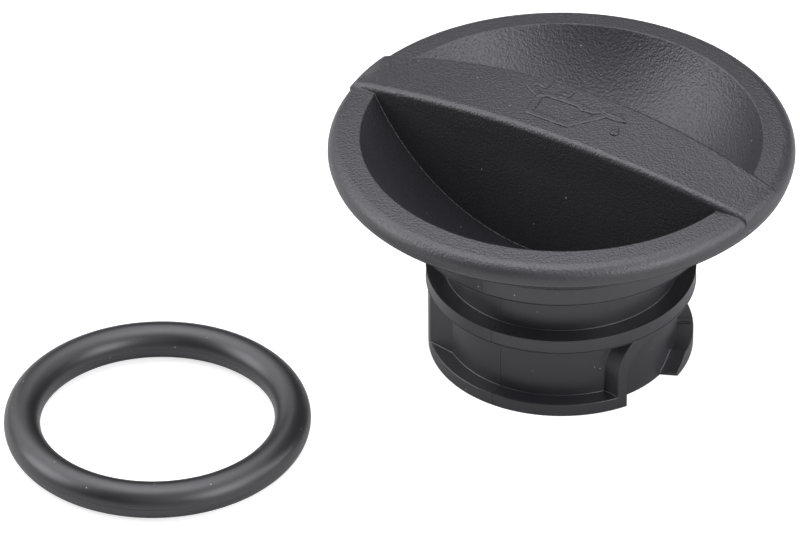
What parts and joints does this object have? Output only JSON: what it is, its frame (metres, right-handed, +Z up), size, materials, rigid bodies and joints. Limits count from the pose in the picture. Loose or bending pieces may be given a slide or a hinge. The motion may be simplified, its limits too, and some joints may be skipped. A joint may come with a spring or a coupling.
{
  "type": "oil filler cap",
  "caption": "Round engine oil filler cap with a scooped bowl, an arched grip bar and a hollow bayonet spigot, with its rubber sealing ring lying beside it.",
  "frame": {"origin": "on the cap's axis, at the lower face of its bayonet lugs, which is the surface it stands on", "axes": "+Z up along the cap's axis, towards the grip bar; +X to the right and +Y away from the viewer in the picture"},
  "size_m": [0.1162, 0.0795, 0.041],
  "materials": {
    "moulded_plastic": "dark grey glass-filled nylon, grained on top and smooth on the spigot",
    "seal_rubber": "black nitrile rubber, satin"
  },
  "bodies": {
    "root": {"cap_body": "moulded_plastic", "seal_ring": "seal_rubber"}
  },
  "joints": []
}
